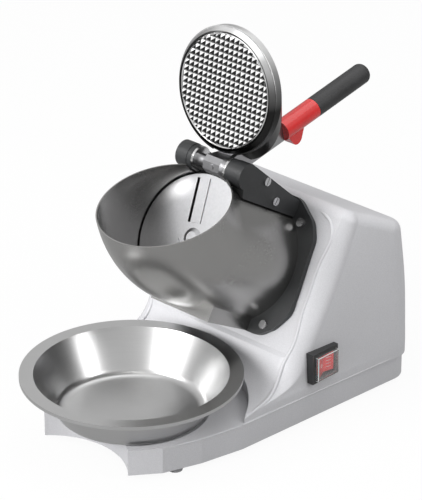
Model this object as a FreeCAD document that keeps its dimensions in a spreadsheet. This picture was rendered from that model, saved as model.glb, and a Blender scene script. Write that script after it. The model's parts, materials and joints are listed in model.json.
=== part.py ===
import FreeCAD, Part
import math
import os
import Sketcher

# An electric ice shaver with a press lever: a grey housing carries a black casting, a steel hopper
# with a swinging toothed lid, and a blade disc on the motor shaft above a bowl. Lengths are in
# millimetres. X runs to the switch side, Y to the back, Z up from the underside of the feet.

os.makedirs("parts", exist_ok=True)
document = FreeCAD.newDocument("IceShaver")
sheet = document.addObject("Spreadsheet::Sheet", "Sizes")
nodes = []


# ---------------------------------------------------------------- sizes

class Size:
    """A length or angle held both as a number and as a spreadsheet expression."""

    def __init__(self, value, text):
        self.value = value
        self.text = text

    def __add__(self, other):
        other = as_size(other)
        return Size(self.value + other.value, "(%s + %s)" % (self.text, other.text))

    def __sub__(self, other):
        other = as_size(other)
        return Size(self.value - other.value, "(%s - %s)" % (self.text, other.text))

    def __mul__(self, other):
        other = as_size(other)
        return Size(self.value * other.value, "(%s * %s)" % (self.text, other.text))

    def __truediv__(self, other):
        other = as_size(other)
        return Size(self.value / other.value, "(%s / %s)" % (self.text, other.text))

    def __neg__(self):
        return Size(-self.value, "(0 - %s)" % self.text)

    __radd__ = __add__
    __rmul__ = __mul__

    def __rsub__(self, other):
        return as_size(other) - self


def as_size(number):
    if isinstance(number, Size):
        return number
    return Size(float(number), "(%r)" % float(number))


def sine(angle):
    return Size(math.sin(math.radians(angle.value)), "sin(%s * 1deg)" % angle.text)


def cosine(angle):
    return Size(math.cos(math.radians(angle.value)), "cos(%s * 1deg)" % angle.text)


def root(number):
    return Size(math.sqrt(number.value), "sqrt(%s)" % number.text)


def fill_sheet(names):
    """Give every number in names a row of the sheet, and let its name stand for that row."""
    numbers = [(name, value) for name, value in names.items() if isinstance(value, (int, float))]
    for row, (name, value) in enumerate(numbers, 1):
        sheet.set("A%d" % row, name)
        sheet.set("B%d" % row, str(value))
        sheet.setAlias("B%d" % row, name)
        names[name] = Size(float(value), "Sizes.%s" % name)


# Head: the motor axis leans back, the plate face is square to it.
plate_centre_y = 50.2
plate_centre_z = 140.5
head_tilt = 31.5
hopper_radius = 66
sheet_wall = 1.2
hinge_reach = 74
throat_length = 90
elbow_sweep = 44.5
hopper_flange_inner = 54
hopper_screw_circle = 59
notch_half_width = 26
notch_depth = 16
seat_gap = 0.3
running_fit = 0.05

# Chute under the shavings chamber.
chute_half_width = 38
chute_length = 63
chute_front_drop = 70
chute_rear_drop = 66.5

# Casting: face plate, two arms and the hinge bosses.
plate_thickness = 6
plate_top = 72.5
plate_top_half_width = 41
plate_shoulder_half_width = 74
plate_waist_half_width = 79
plate_bottom_half_width = 52
plate_bottom = 67
plate_corner = 20
plate_heel = 12
plate_waist_down = 36
plate_shoulder_up = 40
plate_brow_width = 24
plate_brow_height = 17
arm_inner = 28
arm_outer = 40
arm_bottom = 52.9
arm_top_rear = 69.8
arm_nose = 13
arm_cover_thickness = 2
boss_inner = 22
boss_radius = 12.5
boss_ring_thickness = 2.5
hinge_pin_radius = 6
bush_radius = 8.5
bridge_front = 70.5
bridge_length = 18
bridge_low = 68
bridge_high = 77
screw_top_x = 52.4
screw_top_up = 50.6
screw_low_x = 54.7
screw_low_up = 55

# Lid and lever.
lid_lean = 8
lid_radius = 62.8
bezel_radius = 58
bezel_inner = 54.5
lid_depth = 12
lid_shoulder = 4.7
lid_step = 1.3
bezel_depth = 6.9
tooth_pitch = 6
tooth_height = 3
tooth_plate_thickness = 3
back_cover_radius = 52
back_cover_depth = 28
back_cover_drop = 20
back_cover_wall = 2.5
back_cover_straight = 12.4
bracket_left = 9
bracket_right = 12.5
bracket_barrel = 9
bracket_thickness = 6
bracket_rise = 48
lever_rise = 11.5
lever_thickness = 5
lever_below = 10.5
lever_above = 9
guard_start = 77
guard_end = 124
trigger_middle = 92
trigger_depth = 21.5
trigger_radius = 7
trigger_half_length = 13
trigger_half_width = 6
trigger_start_angle = 30
lever_stop_start = 20
lever_stop_length = 10
lever_stop_left = 8
lever_stop_right = 20
grip_end = 203
grip_radius = 10.5
grip_end_round = 6.5
grip_end_wall = 18
tang_half_height = 6

# Blade disc, shaft and motor.
disc_front = 84
disc_thickness = 4
disc_radius = 63.3
blade_length = 44
blade_width = 12
blade_thickness = 1.5
blade_proud = 1
blade_start = 15
shaft_radius = 6
hub_radius = 12
motor_start = 26
motor_length = 56
motor_radius = 42
motor_wall = 2
bell_depth = 13
bell_flange_radius = 48
tie_bolt_circle = 44.8
bearing_radius = 16
bearing_width = 10
core_bore = 22
air_gap = 0.4
core_length = 36
fan_radius = 33
fan_width = 8
bracket_plate_thickness = 3
bracket_plate_half = 64

# Housing, base cover and feet.
foot_height = 6
skirt_height = 27
housing_wall = 3
tip_half_width = 56.4
tip_y = 169
front_arc_radius = 78.4
prong_half_width = 77
prong_y = 143
cheek_half_width = 91
cheek_y = 104
middle_half_width = 101
middle_y = 58
rear_half_width = 117.5
rear_y = 178
rear_corner = 25
tower_front_half_width = 105
lip_height = 3
skirt_inset = 2
shoulder_y = 19
tower_top_inset = 7
tower_front_corner = 22
roof_slope = 25
roof_up = 78
roof_round = 12
tower_lip_half_width = 100
tower_shoulder_half_width = 103
tower_shoulder_rise = 12
tower_waist_rise = 41
tower_waist_setback = 2
tower_chest_rise = 75
tower_crest_rise = 125
tower_top_rise = 181
tower_setback = 1
chin_lean = 18
chin_length = 42
cove_radius = 112.5
cheek_tip_y = 62
recess_radius = 76
recess_depth = 4
foot_radius = 8
foot_front_x = 73
foot_front_y = 122
foot_rear_inset = 25.5
foot_rear_y = 146
cover_thickness = 2.5
cover_screw_length = 9
post_radius = 5
post_front_x = 58
post_front_y = 140
post_rear_inset = 15.5
post_rear_y = 60
vent_half_length = 42
vent_height = 3
vent_pitch = 9
vent_low = 62
screw_radius = 2
screw_head_radius = 4.3
screw_head_height = 2.2
screw_play = 0.1

# Bowl.
bowl_y = 106.2
bowl_rim_radius = 108
bowl_flange = 12
bowl_base_radius = 64
bowl_height = 42.5
bowl_wall = 1
bowl_bend = 12
bowl_slope = 60

# Switch and electrical pieces.
switch_y = 47
switch_z = 61.5
switch_half_length = 18
switch_half_height = 16
switch_face = 113
switch_seat = 104
switch_back = 90
switch_bay_depth = 5
rocker_tilt = 7
switch_body_half_length = 15
switch_body_half_height = 12
rocker_half_length = 11.5
rocker_half_height = 9.5
rocker_depth = 9
rocker_root = 2.5
rocker_rise = 6
rocker_pin_radius = 1.5
rocker_pin_reach = 2
rocker_pivot_x = 107.5
splash_height = 4.4
gland_x = 62
gland_z = 18
gland_radius = 8
gland_bore = 3.5
capacitor_radius = 18
capacitor_height = 58
capacitor_inset = 39.5
capacitor_y = 95
terminal_inset = 47.5
terminal_y = 40

fill_sheet(globals())

floor_z = foot_height + skirt_height
hopper_inner = hopper_radius - sheet_wall
foot_rear_x = rear_half_width - foot_rear_inset
post_rear_x = rear_half_width - post_rear_inset
capacitor_x = rear_half_width - capacitor_inset
terminal_x = rear_half_width - terminal_inset


# ---------------------------------------------------------------- frames

class Frame:
    """Axes turned about X, with their origin in the middle plane of the model."""

    def __init__(self, y, z, angle):
        self.y = as_size(y)
        self.z = as_size(z)
        self.angle = as_size(angle)

    def point(self, x, y, z):
        across, lean, rise = as_size(x), cosine(self.angle), sine(self.angle)
        return (across, self.y + lean * y - rise * z, self.z + rise * y + lean * z)

    def place(self, item, x=0, y=0, z=0):
        """Put an item's own origin at a point of this frame and turn it with the frame."""
        spot = self.point(x, y, z)
        turn = FreeCAD.Rotation(FreeCAD.Vector(1, 0, 0), self.angle.value)
        item.Placement = FreeCAD.Placement(FreeCAD.Vector(*[part.value for part in spot]), turn)
        for axis, part in zip("xyz", spot):
            item.setExpression("Placement.Base." + axis, part.text)
        if self.angle.value:
            item.setExpression("Placement.Rotation.Angle", self.angle.text)
        return item


hinge_y = plate_centre_y - throat_length * cosine(head_tilt) + hinge_reach * sine(head_tilt)
hinge_z = plate_centre_z + throat_length * sine(head_tilt) + hinge_reach * cosine(head_tilt)
model = Frame(0, 0, 0)
head = Frame(plate_centre_y, plate_centre_z, -head_tilt)
hinge = Frame(hinge_y, hinge_z, -head_tilt)
lid = Frame(hinge_y, hinge_z, -lid_lean)
lever = Frame(hinge_y, hinge_z, lever_rise)


# ---------------------------------------------------------------- sketches and solids

def keep(item, name, frame=None, x=0, y=0, z=0):
    """Name a finished piece, place it and list it for writing."""
    item.Label = name
    if frame is not None:
        frame.place(item, x, y, z)
    nodes.append(item)
    return item


def new_body():
    return document.addObject("PartDesign::Body", "Body")


def sketch_on(body, role, offset=0):
    """Start a sketch on one of the body's own planes, moved along its normal."""
    offset = as_size(offset)
    if body is None:
        sketch = document.addObject("Sketcher::SketchObject", "Sketch")
        return model.place(sketch, 0, 0, offset)
    sketch = body.newObject("Sketcher::SketchObject", "Sketch")
    plane = [item for item in body.Origin.OriginFeatures if item.Role == role][0]
    sketch.AttachmentSupport = (plane, "")
    sketch.MapMode = "FlatFace"
    sketch.AttachmentOffset = FreeCAD.Placement(FreeCAD.Vector(0, 0, offset.value), FreeCAD.Rotation())
    sketch.setExpression("AttachmentOffset.Base.z", offset.text)
    return sketch


def fix(sketch, kind, *where, value):
    index = sketch.addConstraint(Sketcher.Constraint(kind, *where, value.value))
    sketch.setExpression("Constraints[%d]" % index, value.text)


def fix_point(sketch, line, end, point, across=True, along=True):
    if across:
        fix(sketch, "DistanceX", -1, 1, line, end, value=as_size(point[0]))
    if along:
        fix(sketch, "DistanceY", -1, 1, line, end, value=as_size(point[1]))


def vector(point):
    return FreeCAD.Vector(as_size(point[0]).value, as_size(point[1]).value, 0)


def arc_through(start, end, centre, clockwise):
    """A circular arc from start to end about a centre."""
    first = vector(start) - vector(centre)
    last = vector(end) - vector(centre)
    low, high = math.atan2(first.y, first.x), math.atan2(last.y, last.x)
    if clockwise:
        low, high = high, low
    return Part.ArcOfCircle(Part.Circle(vector(centre), FreeCAD.Vector(0, 0, 1), first.Length), low, high)


def draw(sketch, corners):
    """Draw a closed outline; a corner (x, y, (cx, cy), clockwise) starts an arc about cx, cy."""
    count = len(corners)
    ends = []
    for number, corner in enumerate(corners):
        following = corners[(number + 1) % count]
        if len(corner) > 2:
            sketch.addGeometry(arc_through(corner, following, corner[2], corner[3]))
            ends.append((2, 1) if corner[3] else (1, 2))
        else:
            sketch.addGeometry(Part.LineSegment(vector(corner), vector(following)))
            ends.append((1, 2))
    for number in range(count):
        after = (number + 1) % count
        joint = Sketcher.Constraint("Coincident", number, ends[number][1], after, ends[after][0])
        sketch.addConstraint(joint)
    for number, corner in enumerate(corners):
        before = corners[number - 1]
        if len(corner) > 2:
            fix_point(sketch, number, 3, corner[2])
        if len(before) > 2:
            spoke = vector(corner) - vector(before[2])
            sideways = abs(spoke.x) > abs(spoke.y)
            fix_point(sketch, number, ends[number][0], corner, across=not sideways, along=sideways)
        else:
            fix_point(sketch, number, ends[number][0], corner)
    return sketch


def draw_circle(sketch, x, y, radius):
    radius = as_size(radius)
    shape = Part.Circle(vector((x, y)), FreeCAD.Vector(0, 0, 1), radius.value)
    circle = sketch.addGeometry(shape)
    fix_point(sketch, circle, 3, (x, y))
    fix(sketch, "Radius", circle, value=radius)
    return sketch


def pad(body, sketch, length, back=False, kind="PartDesign::Pad"):
    """Grow a sketch by a length along its plane's normal, or against it."""
    length = as_size(length)
    feature = body.newObject(kind, "Pad")
    feature.Profile = sketch
    feature.Length = length.value
    feature.setExpression("Length", length.text)
    feature.Reversed = back
    body.Tip = feature
    return feature


def pocket(body, sketch, length, back=False):
    """Cut a sketch out along its plane's normal, or against it."""
    return pad(body, sketch, length, not back, "PartDesign::Pocket")


def spin(body, sketch, axis, angle=360, back=False, kind="PartDesign::Revolution"):
    """Turn a sketch about one of its own axes."""
    angle = as_size(angle)
    feature = body.newObject(kind, "Turn")
    feature.Profile = sketch
    feature.ReferenceAxis = (sketch, [axis])
    feature.Angle = angle.value
    feature.setExpression("Angle", angle.text)
    feature.Reversed = back
    body.Tip = feature
    return feature


def round_edges(body, radius, chosen):
    """Round the edges of the last feature for which chosen(edge) holds."""
    radius = as_size(radius)
    document.recompute()
    last = body.Tip
    names = ["Edge%d" % (number + 1) for number, edge in enumerate(last.Shape.Edges) if chosen(edge)]
    feature = body.newObject("PartDesign::Fillet", "Rounding")
    feature.Base = (last, names)
    feature.Radius = radius.value
    feature.setExpression("Radius", radius.text)
    body.Tip = feature
    return feature


def rounded(solid, radius, chosen):
    """Round the chosen edges of a finished solid."""
    document.recompute()
    names = [number + 1 for number, edge in enumerate(solid.Shape.Edges) if chosen(edge)]
    item = document.addObject("Part::Fillet", "Rounding")
    item.Base = solid
    item.Edges = [(number, radius.value, radius.value) for number in names]
    return item


def plate_on(role, corners, start, length, back=False, radius=None, skip=()):
    """A flat piece: an outline on a plane given thickness, its corners rounded."""
    body = new_body()
    pad(body, draw(sketch_on(body, role, start), corners), length, back)
    if radius is not None:
        normal = {"XY_Plane": "z", "XZ_Plane": "y", "YZ_Plane": "x"}[role]
        level = {"XY_Plane": "xy", "XZ_Plane": "xz", "YZ_Plane": "yz"}[role]
        avoided = [vector(corners[number]) for number in skip]

        def chosen(edge):
            ends = [vertex.Point for vertex in edge.Vertexes]
            if len(ends) != 2 or abs(getattr(ends[0] - ends[1], normal)) < as_size(length).value * 0.99:
                return False
            spot = FreeCAD.Vector(getattr(ends[0], level[0]), getattr(ends[0], level[1]), 0)
            return all(spot.distanceToPoint(corner) > 0.01 for corner in avoided)

        round_edges(body, radius, chosen)
    return body


def lathe(role, profile, axis):
    """A turned piece: a closed profile spun about an axis of its plane."""
    body = new_body()
    spin(body, draw(sketch_on(body, role), profile), axis)
    return body


def ring_profile(inner, outer, start, end, sideways=False):
    """Corners of a plain ring's section: radius first, or length first when sideways."""
    corners = [(inner, start), (outer, start), (outer, end), (inner, end)]
    if sideways:
        return [(along, radius) for radius, along in corners]
    return corners


def ring_along_y(inner, outer, start, end):
    return lathe("XY_Plane", ring_profile(inner, outer, start, end), "V_Axis")


def ring_along_x(inner, outer, start, end):
    return lathe("XY_Plane", ring_profile(inner, outer, start, end, True), "H_Axis")


def box(x, y, z):
    """A block between pairs of limits."""
    item = document.addObject("Part::Box", "Block")
    limits = [(as_size(pair[0]), as_size(pair[1])) for pair in (x, y, z)]
    for side, (low, high) in zip(("Length", "Width", "Height"), limits):
        setattr(item, side, (high - low).value)
        item.setExpression(side, (high - low).text)
    return model.place(item, limits[0][0], limits[1][0], limits[2][0])


def rod(radius, start, length, axis="z"):
    """A cylinder from a start point along one axis of its frame."""
    item = document.addObject("Part::Cylinder", "Rod")
    radius, length = as_size(radius), as_size(length)
    item.Radius = radius.value
    item.Height = length.value
    item.setExpression("Radius", radius.text)
    item.setExpression("Height", length.text)
    model.place(item, *start)
    turns = {"x": (FreeCAD.Vector(0, 1, 0), 90), "y": (FreeCAD.Vector(1, 0, 0), -90)}
    if axis in turns:
        item.Placement.Rotation = FreeCAD.Rotation(*turns[axis])
    return item


def fuse(items):
    result = document.addObject("Part::MultiFuse", "Union")
    result.Shapes = items
    return result


def group(items):
    result = document.addObject("Part::Compound", "Group")
    result.Links = items
    return result


def common(items):
    result = document.addObject("Part::MultiCommon", "Common")
    result.Shapes = items
    return result


def cut(base, tools):
    result = document.addObject("Part::Cut", "Difference")
    result.Base = base
    result.Tool = tools[0] if len(tools) == 1 else group(tools)
    return result


def screw(head_at, length, axis="y", head_side=-1):
    """A pan-head screw: the head's seat at head_at, the shank running on along the axis."""
    across = "xyz".index(axis)
    head_height = screw_head_height * head_side
    top = list(head_at)
    top[across] = as_size(top[across]) + (head_height if head_side < 0 else 0)
    shank_start = list(head_at)
    shank_start[across] = as_size(shank_start[across]) - (0 if head_side < 0 else length)
    slot_half = screw_radius / 4
    slot = [(as_size(part) - screw_head_radius, as_size(part) + screw_head_radius) for part in head_at]
    slot_side = (across + 1) % 3
    slot[slot_side] = (as_size(head_at[slot_side]) - slot_half, as_size(head_at[slot_side]) + slot_half)
    face = as_size(head_at[across]) + head_height
    slot[across] = (face - slot_half * 2, face + slot_half * 2)
    head_rod = rod(screw_head_radius, top, screw_head_height, axis)
    return cut(fuse([head_rod, rod(screw_radius, shank_start, length, axis)]), [box(*slot)])


def both_sides(points):
    return [(side * as_size(point[0]), point[1]) for point in points for side in (-1, 1)]


# ---------------------------------------------------------------- hopper and chute

def hopper():
    body = new_body()

    def section():
        sketch = sketch_on(body, "XZ_Plane")
        draw_circle(sketch, 0, -hinge_reach, hopper_radius)
        return draw_circle(sketch, 0, -hinge_reach, hopper_inner)

    pad(body, section(), throat_length, back=True)
    spin(body, section(), "H_Axis", elbow_sweep, back=True)
    flange = sketch_on(body, "XZ_Plane", sheet_wall - throat_length)
    draw_circle(flange, 0, -hinge_reach, hopper_inner)
    draw_circle(flange, 0, -hinge_reach, hopper_flange_inner)
    pad(body, flange, sheet_wall, back=True)
    holes = sketch_on(body, "XZ_Plane", sheet_wall * 2 - throat_length)
    offset = hopper_screw_circle * math.sqrt(0.5)
    for x, z in both_sides([(offset, offset), (offset, -offset)]):
        draw_circle(holes, x, z - hinge_reach, screw_radius + screw_play)
    pocket(body, holes, sheet_wall * 3, back=True)
    notch = sketch_on(body, "XY_Plane", 0)
    low, high = -notch_half_width, notch_half_width
    draw(notch, [(low, -notch_depth), (high, -notch_depth), (high, notch_depth), (low, notch_depth)])
    pocket(body, notch, notch_depth, back=True)
    opening = sketch_on(body, "XY_Plane", -hinge_reach - hopper_radius / 2)
    side = chute_half_width - sheet_wall * 3
    front = throat_length - chute_length + sheet_wall
    back = throat_length - sheet_wall * 3
    draw(opening, [(-side, front), (side, front), (side, back), (-side, back)])
    pocket(body, opening, hopper_radius, back=True)
    keep(body, "hopper", hinge)
    screws = [screw((x, -sheet_wall, z), plate_thickness, "y")
              for x, z in both_sides([(offset, offset), (offset, -offset)])]
    keep(group(screws), "hopper_screws", head)


def chute():
    body = new_body()
    front, middle = -chute_length, hopper_radius / 2
    side = draw(sketch_on(body, "YZ_Plane", -chute_half_width),
                [(front, -middle), (front, -chute_front_drop), (0, -chute_rear_drop), (0, -middle)])
    pad(body, side, chute_half_width * 2)
    inner = chute_half_width - sheet_wall
    well = draw(sketch_on(body, "XY_Plane", 0),
                [(-inner, front + sheet_wall), (inner, front + sheet_wall), (inner, 1), (-inner, 1)])
    pocket(body, well, hopper_radius * 2, back=True)
    pocket(body, draw_circle(sketch_on(body, "XZ_Plane", hopper_radius), 0, 0, hopper_radius),
           hopper_radius * 2, back=True)
    keep(body, "chute", head)


# ---------------------------------------------------------------- casting and hinge

def arm_outline():
    """Side view of an arm in the head frame: straight top and bottom, round nose at the hinge."""
    nose, centre = arm_nose, (-throat_length, hinge_reach)
    return [(0, arm_bottom), (0, arm_top_rear), (-throat_length, hinge_reach + nose, centre, False),
            (-throat_length, hinge_reach - nose), (-throat_length + nose * 0.3, arm_bottom)]


def casting():
    body = new_body()
    half = plate_waist_half_width
    right = [(plate_bottom_half_width, -plate_bottom), (half - plate_heel, plate_heel - plate_bottom),
             (half, -plate_waist_down), (plate_shoulder_half_width, plate_shoulder_up),
             (plate_top_half_width + plate_brow_width, plate_top - plate_brow_height),
             (plate_top_half_width, plate_top)]
    left = [(-as_size(x), z) for x, z in reversed(right)]
    pad(body, draw(sketch_on(body, "XZ_Plane"), right + left), plate_thickness, back=True)

    def corner(edge):
        ends = [vertex.Point for vertex in edge.Vertexes]
        return len(ends) == 2 and abs(ends[0].y - ends[1].y) > plate_thickness.value * 0.99

    round_edges(body, plate_corner, corner)
    for start in (arm_inner, -arm_outer):
        pad(body, draw(sketch_on(body, "YZ_Plane", start), arm_outline()), arm_outer - arm_inner)
    for start in (boss_inner, -arm_outer):
        boss = sketch_on(body, "YZ_Plane", start)
        draw_circle(boss, -throat_length, hinge_reach, boss_radius)
        pad(body, boss, arm_outer - boss_inner)
    bridge = [(-bridge_front, bridge_low), (bridge_length - bridge_front, bridge_low),
              (bridge_length - bridge_front, bridge_high), (-bridge_front, bridge_high)]
    pad(body, draw(sketch_on(body, "YZ_Plane", -arm_outer), bridge), arm_outer * 2)
    bore = sketch_on(body, "XZ_Plane", throat_length * 2)
    draw_circle(bore, 0, 0, hopper_radius + seat_gap)
    pocket(body, bore, throat_length * 2, back=True)
    drill = sketch_on(body, "YZ_Plane", -arm_outer * 1.5)
    draw_circle(drill, -throat_length, hinge_reach, bush_radius)
    pocket(body, drill, arm_outer * 3)
    holes = sketch_on(body, "XZ_Plane", plate_thickness)
    offset = hopper_screw_circle * math.sqrt(0.5)
    spots = [(offset, offset), (offset, -offset), (screw_top_x, screw_top_up), (screw_low_x, -screw_low_up)]
    for x, z in both_sides(spots):
        draw_circle(holes, x, z, screw_radius + screw_play)
    draw_circle(holes, 0, 0, bearing_radius)
    pocket(body, holes, plate_thickness * 3, back=True)
    side_holes = sketch_on(body, "YZ_Plane", -arm_outer * 1.5)
    for y, z in cover_screw_spots():
        draw_circle(side_holes, y, z, screw_radius + screw_play)
    pocket(body, side_holes, arm_outer * 3)
    keep(body, "mount_casting", head)


def cover_screw_spots():
    return [(-throat_length * 0.68, arm_bottom + 23.5), (-throat_length * 0.42, arm_bottom + 8.5)]


def hinge_pieces():
    cover_screws = []
    for name, side, start in (("left", -1, -arm_outer - arm_cover_thickness), ("right", 1, arm_outer)):
        body = plate_on("YZ_Plane", arm_outline(), start, arm_cover_thickness, radius=2, skip=(0, 1, 2, 3))
        holes = sketch_on(body, "YZ_Plane", start - arm_cover_thickness)
        for y, z in cover_screw_spots():
            draw_circle(holes, y, z, screw_radius + screw_play)
        pocket(body, holes, arm_cover_thickness * 3)
        keep(body, "arm_cover_" + name, head)
        face = side * (arm_outer + arm_cover_thickness)
        shank = arm_outer - arm_inner
        cover_screws += [screw((face, y, z), shank, "x", side) for y, z in cover_screw_spots()]
        flange_start = boss_inner - boss_ring_thickness
        bush = [(side * flange_start, hinge_pin_radius + running_fit), (side * flange_start, boss_radius),
                (side * boss_inner, boss_radius), (side * boss_inner, bush_radius),
                (side * arm_outer, bush_radius), (side * arm_outer, hinge_pin_radius + running_fit)]
        keep(lathe("XY_Plane", bush, "H_Axis"), "hinge_bush_" + name, hinge)
    keep(group(cover_screws), "arm_cover_screws", head)
    pieces = [screw((x, 0, z), plate_thickness + housing_wall + bracket_plate_thickness, "y")
              for x, z in both_sides([(screw_top_x, screw_top_up), (screw_low_x, -screw_low_up)])]
    keep(group(pieces), "plate_screws", head)
    pin = arm_outer - seat_gap
    pin_section = [(-pin, 0), (pin, 0), (pin, hinge_pin_radius), (-pin, hinge_pin_radius)]
    keep(lathe("XY_Plane", pin_section, "H_Axis"), "hinge_pin", lid)


def stop_pad():
    """A block on the casting's bridge that the lever's lower edge rests on."""
    swing = head_tilt + lever_rise
    away = lever_below + seat_gap

    def edge_point(along):
        y = cosine(swing) * along + sine(swing) * away - throat_length
        return (y, sine(swing) * along - cosine(swing) * away + hinge_reach)

    front, rear = edge_point(lever_stop_start), edge_point(lever_stop_start + lever_stop_length)
    corners = [(front[0], bridge_high), (rear[0], bridge_high), rear, front]
    width = lever_stop_right - lever_stop_left
    keep(plate_on("YZ_Plane", corners, lever_stop_left, width), "lever_stop", head)


# ---------------------------------------------------------------- lid and lever

def lid_pieces():
    tail = lid_radius - back_cover_wall - seat_gap
    ledge = bezel_depth + running_fit
    drum = [(bezel_radius, 0), (lid_radius - lid_step, lid_shoulder), (tail, lid_shoulder),
            (tail, lid_depth), (bezel_inner, lid_depth), (bezel_inner, ledge), (bezel_radius - 1.5, ledge)]
    keep(lathe("XY_Plane", drum, "V_Axis"), "lid_ring", lid, 0, 0, hinge_reach)
    bezel = [(bezel_inner, 0.8), (bezel_radius - 2.5, 0), (bezel_radius - 1.8, 0.8),
             (bezel_radius - 1.8, bezel_depth), (bezel_inner, bezel_depth)]
    keep(lathe("XY_Plane", bezel, "V_Axis"), "lid_bezel", lid, 0, 0, hinge_reach)
    backing = tooth_plate_thickness + tooth_height / 2
    keep(ring_along_y(0, bezel_inner - seat_gap, backing, lid_depth), "lid_back_plate", lid,
         0, 0, hinge_reach)
    outer = back_cover(0)
    inner = back_cover(back_cover_wall)
    rise = hinge_reach - bracket_rise
    notch = box((-bracket_left - 1.5, bracket_right + lever_thickness + 1.5),
                (0, back_cover_depth + 5), (-hinge_reach * 2, -rise + 2))
    shell = cut(outer, [inner, notch])
    keep(shell, "lid_back_cover", lid, 0, 0, hinge_reach)
    toothed_plate()
    barrel, chamfer = bracket_barrel, bracket_barrel * 0.45
    bracket = [(-barrel, -chamfer), (-chamfer, -barrel), (chamfer, -barrel), (barrel, -chamfer),
               (lid_depth + bracket_thickness, barrel * 0.7),
               (lid_depth + bracket_thickness, bracket_rise), (lid_depth, bracket_rise),
               (lid_depth, barrel), (-chamfer, barrel), (-barrel, chamfer)]
    body = plate_on("YZ_Plane", bracket, -bracket_left, bracket_left + bracket_right)
    bore = draw_circle(sketch_on(body, "YZ_Plane", -bracket_left * 2), 0, 0, hinge_pin_radius)
    pocket(body, bore, bracket_left * 6)
    keep(body, "lid_bracket", lid)
    rivets = [rod(3, (x, lid_depth + bracket_thickness, z), 1.5, "y")
              for x in (-3, 6) for z in (bracket_rise * 0.5, bracket_rise * 0.85)]
    rivets.append(rod(2.6, (2, -barrel - 1, 0), 1, "y"))
    keep(group(rivets), "lid_rivets", lid)


def back_cover(inset):
    """Cover behind the lid: a straight wall, then a taper to a smaller lowered face."""
    inset = as_size(inset)
    start = document.addObject("Part::Circle", "Rim")
    end = document.addObject("Part::Circle", "Crown")
    rim = lid_radius - inset
    crown = back_cover_radius - inset
    front = lid_shoulder + seat_gap - inset
    for circle, radius, y, z in ((start, rim, back_cover_straight, 0),
                                 (end, crown, back_cover_depth - inset, -back_cover_drop)):
        circle.Radius = radius.value
        circle.setExpression("Radius", radius.text)
        model.place(circle, 0, y, z)
        circle.Placement.Rotation = FreeCAD.Rotation(FreeCAD.Vector(1, 0, 0), -90)
    loft = document.addObject("Part::Loft", "Dome")
    loft.Sections = [start, end]
    loft.Solid = True
    return fuse([rod(rim, (0, front, 0), back_cover_straight - front, "y"), loft])


def toothed_plate():
    """A disc whose face is cut by two crossed rows of vee grooves into square pyramids."""
    radius = bezel_inner - seat_gap
    disc = rod(radius, (0, -tooth_height / 2, 0), tooth_plate_thickness + tooth_height, "y")
    grooves = []
    rows = int(radius.value / tooth_pitch.value)
    half = tooth_pitch / 2
    for axis in ("XY_Plane", "YZ_Plane"):
        for number in range(-rows, rows + 1):
            middle = tooth_pitch * number
            body = new_body()
            tip, root_level = -tooth_height / 2 - 0.02, tooth_height / 2
            if axis == "XY_Plane":
                corners = [(middle - half, tip), (middle + half, tip), (middle, root_level)]
            else:
                corners = [(tip, middle - half), (tip, middle + half), (root_level, middle)]
            pad(body, draw(sketch_on(body, axis, -radius * 1.1), corners), radius * 2.2)
            grooves.append(body)
    keep(cut(disc, grooves), "tooth_plate", lid, 0, 0, hinge_reach)


def tang_well(body, start, length):
    """Cut the lever's tang out of a handle piece from a start along the lever."""
    half = lever_thickness / 2
    corners = [(-half, -tang_half_height), (half, -tang_half_height), (half, tang_half_height),
               (-half, tang_half_height)]
    pocket(body, draw(sketch_on(body, "XZ_Plane", -start), corners), length, back=True)


def lever_pieces():
    middle = bracket_right + lever_thickness / 2
    tang_end = grip_end - grip_end_wall
    bar = [(0, -lever_below), (guard_start, -lever_below), (guard_start, -tang_half_height),
           (tang_end, -tang_half_height), (tang_end, tang_half_height), (guard_start, tang_half_height),
           (guard_start, lever_above), (0, lever_above)]
    body = new_body()
    pad(body, draw(sketch_on(body, "YZ_Plane", bracket_right), bar), lever_thickness)
    hub = draw_circle(sketch_on(body, "YZ_Plane", bracket_right), 0, 0, lever_below)
    pad(body, hub, lever_thickness)
    bore = draw_circle(sketch_on(body, "YZ_Plane", bracket_right - 1), 0, 0, hinge_pin_radius)
    pocket(body, bore, lever_thickness * 3)
    keep(body, "lever_bar", lever)

    begin = guard_start + seat_gap
    body = new_body()
    sleeve = draw_circle(sketch_on(body, "XZ_Plane", -guard_end), 0, 0, grip_radius)
    pad(body, sleeve, guard_end - begin)
    centre = (trigger_middle, trigger_radius - trigger_depth)
    across = trigger_radius * cosine(trigger_start_angle)
    low = centre[1] - trigger_radius * sine(trigger_start_angle)
    trigger = [(trigger_middle - trigger_half_length, -grip_radius / 2),
               (trigger_middle - across, low, centre, False), (trigger_middle + across, low),
               (trigger_middle + trigger_half_length, -grip_radius / 2)]
    pad(body, draw(sketch_on(body, "YZ_Plane", -trigger_half_width), trigger), trigger_half_width * 2)
    tang_well(body, begin - 1, guard_end - begin + 2)
    keep(body, "lever_guard", lever, middle)

    begin = guard_end + seat_gap
    round_start, core = grip_end - grip_end_round, grip_radius - grip_end_round
    grip = [(0, begin), (grip_radius, begin), (grip_radius, round_start, (core, round_start), False),
            (core, grip_end), (0, grip_end)]
    body = lathe("XY_Plane", grip, "V_Axis")
    tang_well(body, begin - 1, tang_end - begin + 1)
    keep(body, "lever_grip", lever, middle)


# ---------------------------------------------------------------- blade disc and motor

def blade_boxes(front, thickness, grow):
    """Three blocks spread evenly on the disc face, one for each blade."""
    blocks = []
    for number in range(3):
        block = box((blade_start - grow, blade_start + blade_length + grow),
                    (front, front + thickness), (-blade_width / 2 - grow, blade_width / 2 + grow))
        holder = group([block])
        holder.Placement.Rotation = FreeCAD.Rotation(FreeCAD.Vector(0, 1, 0), number * 120 + 20)
        blocks.append(holder)
    return blocks


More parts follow.
